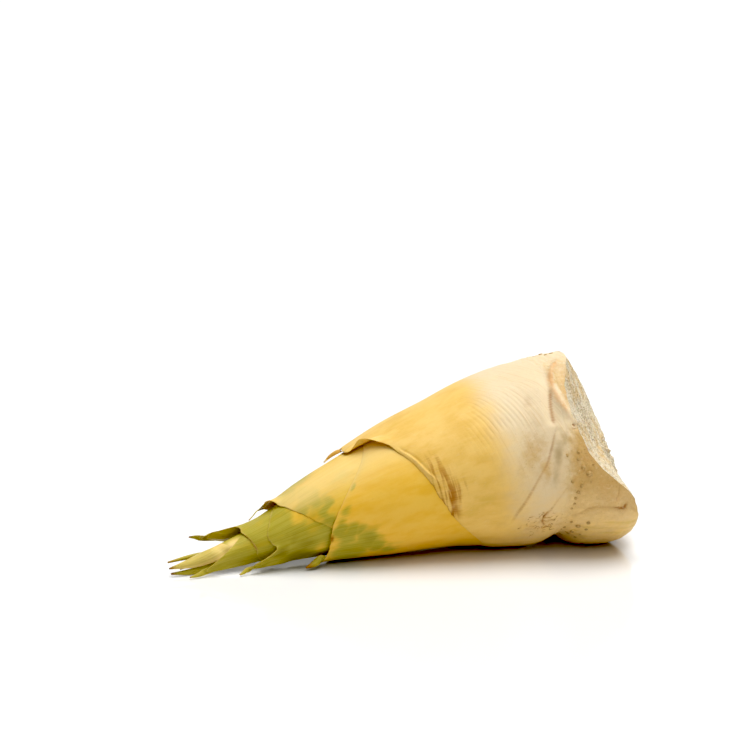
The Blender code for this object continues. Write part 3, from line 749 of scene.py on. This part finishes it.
def build_culm():
    """The solid stem: a coarse core under the sheaths, the skin of the root end, and the cut."""
    theta = np.arange(CULM_COLUMNS) * FULL_TURN / CULM_COLUMNS
    rim = cut_rim(theta)
    core_x = np.array([CULM_END, *range(-60, 60, 10)], float)[:, None] + 0 * theta
    depth = LAYER * sum((sheath["start"] > core_x + 0.5).astype(float) for sheath in SHEATHS)
    skin_x = SKIN_START + (rim - SKIN_START) * np.linspace(0, 1, CULM_ROWS + 1)[:, None]
    side = np.concatenate([place(core_x, theta, base_radius(core_x, theta) - depth - 0.4),
                           place(skin_x, theta, belt_radius(skin_x, theta))])
    side_x = np.concatenate([core_x, skin_x])
    side_angle = theta + 0 * side_x
    inward = (np.linspace(0, 1, CUT_ROWS + 1)[1:-1] ** 0.85)[:, None]
    face = side[-1] + (np.array(CUT_POINT) - side[-1]) * inward[..., None]
    depth = 0.22 * fractal(face / 0.85, 2, 70) + 0.25 * noise(face / 4, 75) - 0.7 * ease(inward * 2)
    face = face + unit(np.array(CUT_NORMAL)) * (depth * ease(inward * 16))[..., None]
    cut = np.concatenate([face[-1].mean(0)[None], face[::-1].reshape(-1, 3)])

    index = ring_index(1, len(face) + len(side), CULM_COLUMNS)
    fan = [[0, first, second] for first, second in zip(index[0][:-1], index[0][1:])]
    faces = [*fan, *quads(index), index[-1][:-1][::-1]]
    tan, peach, grey, gold, brown = root_end_shares(side_x, side_angle)
    edge = bell(rim - side_x, 0.55) * (side_x > 50)
    pale = np.maximum(pale_share(side_x, side_angle), edge)
    side_grain = grain(side_x, side_angle)
    side_grain[-1] = side[-1]
    layers = {"grain": (cut, side_grain),
              "tint": (np.zeros((len(cut), 4)), np.clip(stacked(0, brown - edge, pale, 0), 0, 1)),
              "skin": (np.zeros((len(cut), 4)), np.clip(stacked(tan, peach, grey, gold), 0, 1)),
              "crease": (np.zeros((len(cut), 3)), 0 * side)}
    layers = {name: np.concatenate([on_cut, on_side[::-1].reshape(-1, on_side.shape[-1])])
              for name, (on_cut, on_side) in layers.items()}
    points = np.concatenate([cut, side[::-1].reshape(-1, 3)])
    item = smooth_mesh("culm_flesh", on_table(points), faces, layers)
    item.data.materials.append(ROOT_END)
    item.data.materials.append(CUT)
    cut_faces = np.arange(len(faces)) < len(fan) + len(face) * CULM_COLUMNS
    item.data.polygons.foreach_set("material_index", cut_faces.astype(np.int32))
    ends = np.zeros(len(item.data.edges) * 2, np.int32)
    item.data.edges.foreach_get("vertices", ends)
    ends = ends.reshape(-1, 2) - len(cut)
    on_rim = ((ends >= 0) & (ends < CULM_COLUMNS)).all(1)
    item.data.attributes.new("sharp_edge", "BOOLEAN", "EDGE").data.foreach_set("value", on_rim)
    return item


# ---- materials ------------------------------------------------------------------------------------
PORE_PITCH = 1.05        # mm from one vessel's end to the next on the cut


def linear(hex_colour):
    """An sRGB hex colour as linear RGBA."""
    levels = [int(hex_colour[k:k + 2], 16) / 255 for k in (1, 3, 5)]
    return (*[v / 12.92 if v <= 0.04045 else ((v + 0.055) / 1.055) ** 2.4 for v in levels], 1)


def add_node(tree, kind, inputs, **settings):
    """Adds a node with its settings and gives its outputs; inputs takes sockets, hex colours and values."""
    node = tree.nodes.new(kind)
    for name, value in settings.items():
        setattr(node, name, value)
    for slot, value in inputs.items():
        if isinstance(value, bpy.types.NodeSocket):
            tree.links.new(value, node.inputs[slot])
        else:
            node.inputs[slot].default_value = linear(value) if str(value).startswith("#") else value
    return node.outputs


def summed(tree, *terms):
    """The sum of products, each of two sockets or numbers."""
    total = 0.0
    for first, second in terms:
        total = add_node(tree, "ShaderNodeMath", {0: first, 1: second, 2: total},
                         operation="MULTIPLY_ADD")[0]
    return total


def part_of(tree, share, pattern, raggedness, low, high, most=1.0):
    """Goes smoothly from 0 to most while share + raggedness * (pattern - 0.5) goes from low to high."""
    level = add_node(tree, "ShaderNodeMath", {0: pattern, 1: raggedness, 2: share},
                     operation="MULTIPLY_ADD")[0]
    shift = raggedness / 2
    return add_node(tree, "ShaderNodeMapRange",
                    {"Value": level, "From Min": low + shift, "From Max": high + shift, "To Max": most},
                    interpolation_type="SMOOTHSTEP")[0]


def laid_over(tree, colour, *layers):
    """Colours laid over one another; each layer is a colour and what part_of needs for its share."""
    for upper, *rule in layers:
        colour = add_node(tree, "ShaderNodeMix", {0: part_of(tree, *rule), 6: colour, 7: upper},
                          data_type="RGBA")[2]
    return colour


def layer_noise(tree, layer, stretch, size, detail):
    """Noise over a vector layer in mm; stretch shrinks each axis, and size is the features' size."""
    where = add_node(tree, "ShaderNodeAttribute", {}, attribute_name=layer)["Vector"]
    scaled = add_node(tree, "ShaderNodeVectorMath", {0: where, 1: stretch}, operation="MULTIPLY")[0]
    return add_node(tree, "ShaderNodeTexNoise", {"Vector": scaled, "Scale": 0.6 / size, "Detail": detail,
                                                 "Roughness": 0.55})["Fac"]


def shares(tree, layer):
    """The four shares of a colour layer."""
    paint = add_node(tree, "ShaderNodeAttribute", {}, attribute_name=layer)
    return (*add_node(tree, "ShaderNodeSeparateColor", {0: paint["Color"]})[:3], paint["Alpha"])


def outer_sheath_look(tree):
    """Fleshy outer tissue: yellow where it was in the light, cream towards the root, stained at cuts, with
    painted shade in the recess, under the lifted lip and in the hollow of its lower side.
    """
    green, brown, pale, _ = shares(tree, "tint")
    tan, peach, grey, gold = shares(tree, "skin")
    blotch, streak, fibre, speck, crumb = [
        layer_noise(tree, "grain", (1, 1, stretch), size, detail) for stretch, size, detail in
        ((0.6, 4.0, 4), (0.07, 0.6, 3), (0.04, 0.22, 2), (1, 0.35, 2), (0.8, 1.1, 4))]
    fold = layer_noise(tree, "crease", (1, 0.03, 0), 0.5, 2)
    crease = add_node(tree, "ShaderNodeAttribute", {}, attribute_name="crease")["Vector"]
    creased = add_node(tree, "ShaderNodeSeparateXYZ", {0: crease})[2]
    rough = summed(tree, (blotch, 0.4), (crumb, 0.6))
    soiled = summed(tree, (tan, 0.45), (0.25, 0.45))
    colour = laid_over(
        tree, "#E8C06E",
        ("#DEB35B", 0.0, blotch, 1, -0.15, 0.2),
        ("#EBC980", 0.0, streak, 1, -0.08, 0.25, 0.16),
        ("#E2CDA8", pale, blotch, 0.5, 0.08, 0.95),
        ("#CCA76A", tan, rough, 1.2, 0.1, 1.0),
        ("#C8A84E", gold, streak, 0.9, 0.35, 1.0),
        ("#B8A077", grey, rough, 1.0, 0.15, 1.2),
        ("#D9A268", peach, rough, 0.9, 0.1, 1.0),
        ("#A79A40", green, blotch, 0.4, 0.1, 0.9),
        ("#97591D", brown, fibre, 0.5, 0.12, 1.0, 0.85),
        ("#C9A062", 0.0, fold, 1, 0.05, 0.25, summed(tree, (creased, 0.35))),
        ("#8F6A38", 0.0, speck, 1, 0.06, 0.3, soiled),
        ("#EBD9B4", 0.0, crumb, 1, 0.05, 0.3, soiled))
    return colour, summed(tree, (fibre, 0.15), (speck, 0.4), (summed(tree, (crumb, tan)), 2.5),
                          (summed(tree, (fold, creased)), 1.6))


def leaf_sheath_look(tree, gold, warm):
    """Fibrous leaf sheath: fine veins run along it, and green, brown and pale tissue come by its paint; the
    pale share also carries painted highlights and the deep green painted shade.
    """
    green, brown, pale, deep = shares(tree, "tint")
    blotch, streak, vein, speck = [
        layer_noise(tree, "grain", (1, 1, stretch), size, detail) for stretch, size, detail in
        ((0.5, 3.2, 5), (0.06, 0.8, 3), (0.02, 0.30, 2), (1, 0.3, 2))]
    tissue = summed(tree, (blotch, 0.6), (streak, 0.4))
    leaf = laid_over(
        tree, "#A5973A",
        ("#B3A64A", 0.0, vein, 1, -0.15, 0.15),
        ("#BBA032", 0.0, blotch, 1, 0, 0.25, 0.5),
        ("#6B5E0E", deep, tissue, 0.8, 0.25, 1.1))
    colour = laid_over(
        tree, gold,
        (warm, 0.0, blotch, 1, -0.15, 0.2),
        (leaf, green, tissue, 0.9, 0.15, 0.8),
        ("#EBCB82", pale, streak, 0.3, 0.1, 1.0),
        ("#8F5A1E", brown, streak, 0.4, 0.12, 1.0),
        ("#7A5A20", 0.0, speck, 1, 0.12, 0.3, 0.16))
    return colour, summed(tree, (vein, 1.0), (speck, 0.3))


def cut_look(tree):
    """Knife-cut shoot flesh: moist and white, dotted with the grey and golden ends of its vessels."""
    zone = layer_noise(tree, "grain", (1, 1, 1), 8.0, 3)
    fine = layer_noise(tree, "grain", (1, 1, 1), 0.5, 2)
    where = add_node(tree, "ShaderNodeAttribute", {}, attribute_name="grain")["Vector"]
    cell = add_node(tree, "ShaderNodeTexVoronoi", {"Vector": where, "Scale": 1 / PORE_PITCH})["Distance"]
    pore = (cell, fine, 0.25, 0.475, 0.235)
    vessel = laid_over(tree, "#9C8252", ("#A87C3A", 0.0, zone, 1, -0.05, 0.12))
    colour = laid_over(tree, "#ECE0C8", ("#D4C39C", 0.0, fine, 1, -0.15, 0.15),
                       ("#D2AC66", 0.0, zone, 1, -0.05, 0.12, 0.55), (vessel, *pore, 0.55))
    return colour, summed(tree, (fine, 0.6), (part_of(tree, *pore), -1.0))


def speckled(tree, scale, low, high):
    """One colour strewn through another, over the object's own coordinates."""
    where = add_node(tree, "ShaderNodeTexCoord", {})["Object"]
    tone = add_node(tree, "ShaderNodeTexNoise", {"Vector": where, "Scale": scale})["Fac"]
    return laid_over(tree, low, (high, 0.0, tone, 1, -0.15, 0.15))


def root_bud_look(tree):
    """Root buds: corky rings with a dark grey pit."""
    pit = add_node(tree, "ShaderNodeAttribute", {}, attribute_name="pit")["Fac"]
    ring = speckled(tree, 1500.0, "#B4915A", "#C4A570")
    return laid_over(tree, ring, ("#2E2518", pit, 0.5, 0, 0.1, 0.75)), None


def fibre_look(tree):
    """Torn vessel fibres, dried to a straw brown."""
    return speckled(tree, 260.0, "#96672A", "#D6AE6E"), None


def lacquered_look(tree):
    """A white lacquered board, even and hard."""
    return "#EBEBEB", None


def material(name, look, roughness, specular=0.14, glow=0.10, depth_mm=0.0, *colours):
    """A Principled material; glow is the share of light let through, and depth_mm its relief's height."""
    finish = bpy.data.materials.new(name)
    finish.use_nodes = True
    tree = finish.node_tree
    tree.nodes.clear()
    colour, height = look(tree, *colours)
    inputs = {"Base Color": colour, "Roughness": roughness, "Specular IOR Level": specular,
              "Subsurface Weight": glow, "Subsurface Radius": (1.0, 0.55, 0.2), "Subsurface Scale": 0.003}
    if height is not None:
        inputs["Normal"] = add_node(tree, "ShaderNodeBump", {"Height": height, "Strength": 1.0,
                                                             "Distance": depth_mm * MM})[0]
    shader = add_node(tree, "ShaderNodeBsdfPrincipled", inputs)
    add_node(tree, "ShaderNodeOutputMaterial", {"Surface": shader[0]})
    return finish


OUTER_SHEATH = material("bamboo_outer_sheath_fleshy", outer_sheath_look, 0.46, depth_mm=0.10)
ROOT_END = material("bamboo_root_end_skin", outer_sheath_look, 0.52, depth_mm=0.14)
GOLDEN_SHEATH = material("bamboo_sheath_golden_satin", leaf_sheath_look, 0.42, 0.16, 0.10, 0.05,
                         "#E9BC55", "#E4B244")
GREEN_SHEATH = material("bamboo_leaf_olive_veined", leaf_sheath_look, 0.40, 0.16, 0.10, 0.07,
                        "#E0B84C", "#D6AC40")
CUT = material("bamboo_flesh_knife_cut", cut_look, 0.6, 0.25, 0.12, 0.35)
ROOT_BUD = material("bamboo_root_bud_cork", root_bud_look, 0.7, 0.25, 0.05)
FIBRE = material("dry_bamboo_fibre", fibre_look, 0.6, 0.3, 0.0)
BOARD = material("white_lacquered_board", lacquered_look, 0.12, 0.5, 0.0)


# ---- what repeats ---------------------------------------------------------------------------------
BUD_PROFILE = ((0.95, -0.6, 0), (0.85, -0.05, 0), (0.74, 0.06, 0), (0.60, 0.03, 0.95), (0.3, -0.04, 1))
BUD_ROWS, BUDS_IN_ROW, BUD_HEIGHT = (63.0, 67.0, 71.0), 26, 0.24
FIBRE_PROFILE = ((0.055, -0.2, 0), (0.05, 0.3, 0), (0.035, 0.7, 0), (0.012, 1.0, 0))
BRISTLES, FRAYED_FIBRES = 46, 90
LONE_FIBRES = ((138, 2.6), (143, 3.6), (149, 3.0), (154, 2.2), (160, 2.4), (134, 2.0))


def scatter_tree():
    """Copies of one piece on points, each turned to the point's aim and sized by the point's size."""
    tree = bpy.data.node_groups.new("scatter_on_aims", "GeometryNodeTree")
    tree.interface.new_socket("Geometry", in_out="OUTPUT", socket_type="NodeSocketGeometry")
    for label, kind in (("Points", "Geometry"), ("Piece", "Object"), ("Finish", "Material"),
                        ("Spread", "Float"), ("Seed", "Int")):
        tree.interface.new_socket(label, in_out="INPUT", socket_type="NodeSocket" + kind)
    entry = add_node(tree, "NodeGroupInput", {})
    piece = add_node(tree, "GeometryNodeObjectInfo", {"Object": entry["Piece"]})["Geometry"]
    aim, size = [add_node(tree, "GeometryNodeInputNamedAttribute", {"Name": name}, data_type=kind)[0]
                 for name, kind in (("aim", "FLOAT_VECTOR"), ("size", "FLOAT"))]
    turned = add_node(tree, "FunctionNodeAlignRotationToVector", {"Vector": aim}, axis="Z")[0]
    low, high = [add_node(tree, "ShaderNodeMath", {0: 1.0, 1: entry["Spread"]}, operation=operation)[0]
                 for operation in ("SUBTRACT", "ADD")]
    vary = add_node(tree, "FunctionNodeRandomValue", {2: low, 3: high, "Seed": entry["Seed"]},
                    data_type="FLOAT")[1]
    scale = add_node(tree, "ShaderNodeMath", {0: size, 1: vary}, operation="MULTIPLY")[0]
    copies = add_node(tree, "GeometryNodeInstanceOnPoints", {"Points": entry["Points"], "Instance": piece,
                                                             "Rotation": turned, "Scale": scale})[0]
    spin = add_node(tree, "FunctionNodeRandomValue",
                    {0: (0.0, 0.0, 0.0), 1: (0.0, 0.0, FULL_TURN), "Seed": entry["Seed"]},
                    data_type="FLOAT_VECTOR")[0]
    spun = add_node(tree, "GeometryNodeRotateInstances", {"Instances": copies, "Rotation": spin})[0]
    solid = add_node(tree, "GeometryNodeRealizeInstances", {0: spun})[0]
    done = add_node(tree, "GeometryNodeSetMaterial", {"Geometry": solid, "Material": entry["Finish"]})[0]
    add_node(tree, "NodeGroupOutput", {0: done})
    return tree


def scatter(name, tree, piece, finish, spots_at, spread, seed):
    """A plain mesh object of the copies of piece on (point, aim, size) spots."""
    points, aims, sizes = [np.array(values) for values in zip(*spots_at)]
    carrier = smooth_mesh(name + "_points", (points - np.array(ORIGIN)) * MM, [],
                          {"aim": aims, "size": sizes})
    modifier = carrier.modifiers.new("scatter", "NODES")
    modifier.node_group = tree
    values = {"Piece": piece, "Finish": finish, "Spread": spread, "Seed": seed}
    for socket in tree.interface.items_tree:
        if socket.in_out == "INPUT" and socket.name in values:
            modifier[socket.identifier] = values[socket.name]
    depsgraph = bpy.context.evaluated_depsgraph_get()
    mesh = bpy.data.meshes.new_from_object(carrier.evaluated_get(depsgraph),
                                           preserve_all_data_layers=True, depsgraph=depsgraph)
    mesh.name = name
    bpy.data.objects.remove(carrier)
    bpy.data.objects.remove(piece)
    return in_scene(name, mesh)


def turned_piece(name, profile, columns):
    """A closed turned form from (radius, height, pit) rows in mm, with its pit layer."""
    theta = np.arange(columns) * FULL_TURN / columns
    rings = [[(r * math.cos(a), r * math.sin(a), h) for a in theta] for r, h, pit in profile]
    pits = np.repeat([pit for r, h, pit in profile], columns)
    return smooth_mesh(name, np.array(rings).reshape(-1, 3) * MM, capped_tube(len(profile), columns),
                       {"pit": pits})


def surface_frame(x, degrees, radius_at):
    """Point on a surface, and its outward, tipward and round directions."""
    theta = math.radians(degrees)
    point, ahead, beside = [place(s, a, radius_at(s, a))
                            for s, a in ((x, theta), (x - 0.5, theta), (x, theta + 0.01))]
    tipward, around = unit(ahead - point), unit(beside - point)
    return point, unit(np.cross(around, tipward)), tipward, around


def build_root_buds(tree):
    """Staggered rows of root buds round the root end, the near ones where their swellings are."""
    draw = np.random.default_rng(5)
    places = [(x, degrees, 1.05 * size) for x, degrees, size in BUD_SPOTS]
    for row, station in enumerate(BUD_ROWS):
        for k in range(BUDS_IN_ROW):
            degrees = 124 + (k + 0.5 * (row % 2)) * 236 / BUDS_IN_ROW + draw.uniform(-2.5, 2.5)
            x = station + draw.uniform(-0.9, 0.9)
            if abs(past(math.radians(degrees), 180)) > 0.35:
                places.append((x, degrees, draw.uniform(0.55, 1.1)))
    spots_at = []
    for x, degrees, size in places:
        point, outward, *_ = surface_frame(x, degrees, belt_radius)
        spots_at.append((point + BUD_HEIGHT * outward, outward, size))
    bud = turned_piece("root_bud_form", BUD_PROFILE, 12)
    own(scatter("root_buds", tree, bud, ROOT_BUD, spots_at, 0.1, 3), "culm", "shoot_flesh")


def build_fibres(tree):
    """Bristles on a torn leaf margin, and frayed fibres where the outer sheath was torn."""
    draw = np.random.default_rng(8)
    spots_at = []

    def grow(x, degrees, radius_at, lean, size):
        point, *directions = surface_frame(x, degrees, radius_at)
        aim = np.array(lean) @ directions + draw.normal(0, 0.25, 3)
        spots_at.append((point - 0.1 * directions[0], unit(aim), size))

    first, fifth = SHEATHS[0], SHEATHS[4]
    for degrees in np.linspace(30, 92, BRISTLES):
        x = edge_station(fifth, math.radians(degrees)) + 0.25
        grow(x, degrees, lambda s, a: sheath_radius(fifth, 4, s, a), (0.45, 0.8, 0.25),
             draw.uniform(0.5, 1.0))
    for _ in range(FRAYED_FIBRES):
        x, degrees = draw.normal(51, 3.6), draw.normal(124, 5)
        grow(x, degrees, lambda s, a: sheath_radius(first, 0, s, a), (0.22, -0.9, -0.35),
             draw.uniform(0.8, 2.4))
    for degrees, size in LONE_FIBRES:
        grow(draw.uniform(58.5, 66), degrees, belt_radius, (0.7, 0.3, 0.3), size)
    fibre = turned_piece("fibre_form", FIBRE_PROFILE, 5)
    own(scatter("torn_fibres", tree, fibre, FIBRE, spots_at, 0.3, 6), "sheath_1", "pale_sheath")


# ---- making ---------------------------------------------------------------------------------------
# The rolled innermost leaf: station, Y, Z and radius along its bent line.
BUD = ((-72.6, 0, 10.8, 2.7), (-79, 0, 9.0, 1.8), (-86, 0.1, 7.4, 0.9), (-93, 3.1, 6.9, 1.3),
       (-101, 2.6, 6.6, 1.0), (-110.4, 0.8, 5.8, 0.4))
BUD_COLUMNS, BUD_RINGS = 48, 70
TABLE_HALF = 6.0
LAMPS = (("overhead_softbox", 3.75, 56, (0.12, -0.02, 1.0)), ("front_softbox", 0.7, 40, (-0.2, -1.0, 1.0)))
ROOM_FILL, ROOM_SEEN = 0.06, 1.05
CAMERA_AT, CAMERA_TILT, CAMERA_TURN = (-0.27741, -0.71834, 0.23216), 79, -20
LENS, SENSOR = 85, 36
BLACK_LEVEL = 0.033


def own(item, node, slot):
    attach(item, "root")
    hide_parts(node)


def build_bud():
    """The innermost leaf, still rolled up round a bent line."""
    theta = np.arange(BUD_COLUMNS) * FULL_TURN / BUD_COLUMNS
    down = np.linspace(0, 1, BUD_RINGS)[:, None]
    knots = np.linspace(0, 1, len(BUD))
    x, y, z, radius = [smooth_profile(np.c_[knots, values], down) for values in zip(*BUD)]
    points = stacked(x, y - radius * np.sin(theta), z + radius * np.cos(theta))
    tint = stacked(0.9 + 0 * theta, 0.6 * ease((down - 0.8) / 0.2), 0.2, 0.5 * (1 - down))
    return smooth_mesh("leaf_bud_rolled", on_table(points.reshape(-1, 3)),
                       capped_tube(BUD_RINGS, BUD_COLUMNS),
                       {"grain": grain(x, theta, 6).reshape(-1, 3), "tint": tint.reshape(-1, 4)})


def build_shoot():
    own(build_culm(), "culm", "shoot_flesh")
    finishes = [(OUTER_SHEATH, "pale_sheath"), (GOLDEN_SHEATH, "golden_sheath")]
    finishes += [(GREEN_SHEATH, "green_sheath")] * (len(SHEATHS) - 2)
    for layer, (sheath, (finish, slot)) in enumerate(zip(SHEATHS, finishes)):
        leaf = build_sheath(sheath, layer)
        leaf.data.materials.append(finish)
        own(leaf, sheath["name"], slot)
    bud = build_bud()
    bud.data.materials.append(GREEN_SHEATH)
    own(bud, "leaf_bud", "green_sheath")
    tree = scatter_tree()
    build_root_buds(tree)
    build_fibres(tree)


# ---- table, light and camera ----------------------------------------------------------------------
def build_stage():
    """A wide white table with a hard gloss, which shows the shoot faintly mirrored."""
    mesh = bpy.data.meshes.new("table")
    corners = [(TABLE_HALF * x, TABLE_HALF * y, 0) for x, y in ((-1, -1), (1, -1), (1, 1), (-1, 1))]
    mesh.from_pydata(corners, [], [(0, 1, 2, 3)])
    mesh.materials.append(BOARD)
    in_scene("table", mesh)


def light_and_camera():
    """A broad lamp overhead, in a room that is white to see and in gloss but gives little light."""
    scene = bpy.context.scene
    scene.world = bpy.data.worlds.new("studio")
    scene.world.use_nodes = True
    tree = scene.world.node_tree
    tree.nodes.clear()
    path = add_node(tree, "ShaderNodeLightPath", {})
    seen = add_node(tree, "ShaderNodeMath", {0: path["Is Camera Ray"], 1: path["Is Glossy Ray"]},
                    operation="MAXIMUM")[0]
    strength = add_node(tree, "ShaderNodeMapRange", {"Value": seen, "To Min": ROOM_FILL,
                                                     "To Max": ROOM_SEEN})[0]
    sky = add_node(tree, "ShaderNodeBackground", {"Strength": strength, "Color": "#FFFFFF"})[0]
    add_node(tree, "ShaderNodeOutputWorld", {"Surface": sky})
    for name, energy, spread, towards in LAMPS:
        lamp = bpy.data.lights.new(name, "SUN")
        lamp.energy = energy
        lamp.angle = math.radians(spread)
        in_scene(name, lamp).rotation_euler = Vector(towards).to_track_quat("Z", "Y").to_euler()
    lens = bpy.data.cameras.new("camera")
    lens.lens = LENS
    lens.sensor_width = SENSOR
    camera = in_scene("camera", lens)
    camera.location = CAMERA_AT
    camera.rotation_euler = (math.radians(CAMERA_TILT), 0, math.radians(CAMERA_TURN))
    scene.camera = camera
    scene.view_settings.view_transform = "Standard"
    scene.view_settings.use_curve_mapping = True
    scene.view_settings.curve_mapping.black_level = (BLACK_LEVEL,) * 3
    scene.view_settings.curve_mapping.update()


build_shoot()
build_stage()
light_and_camera()
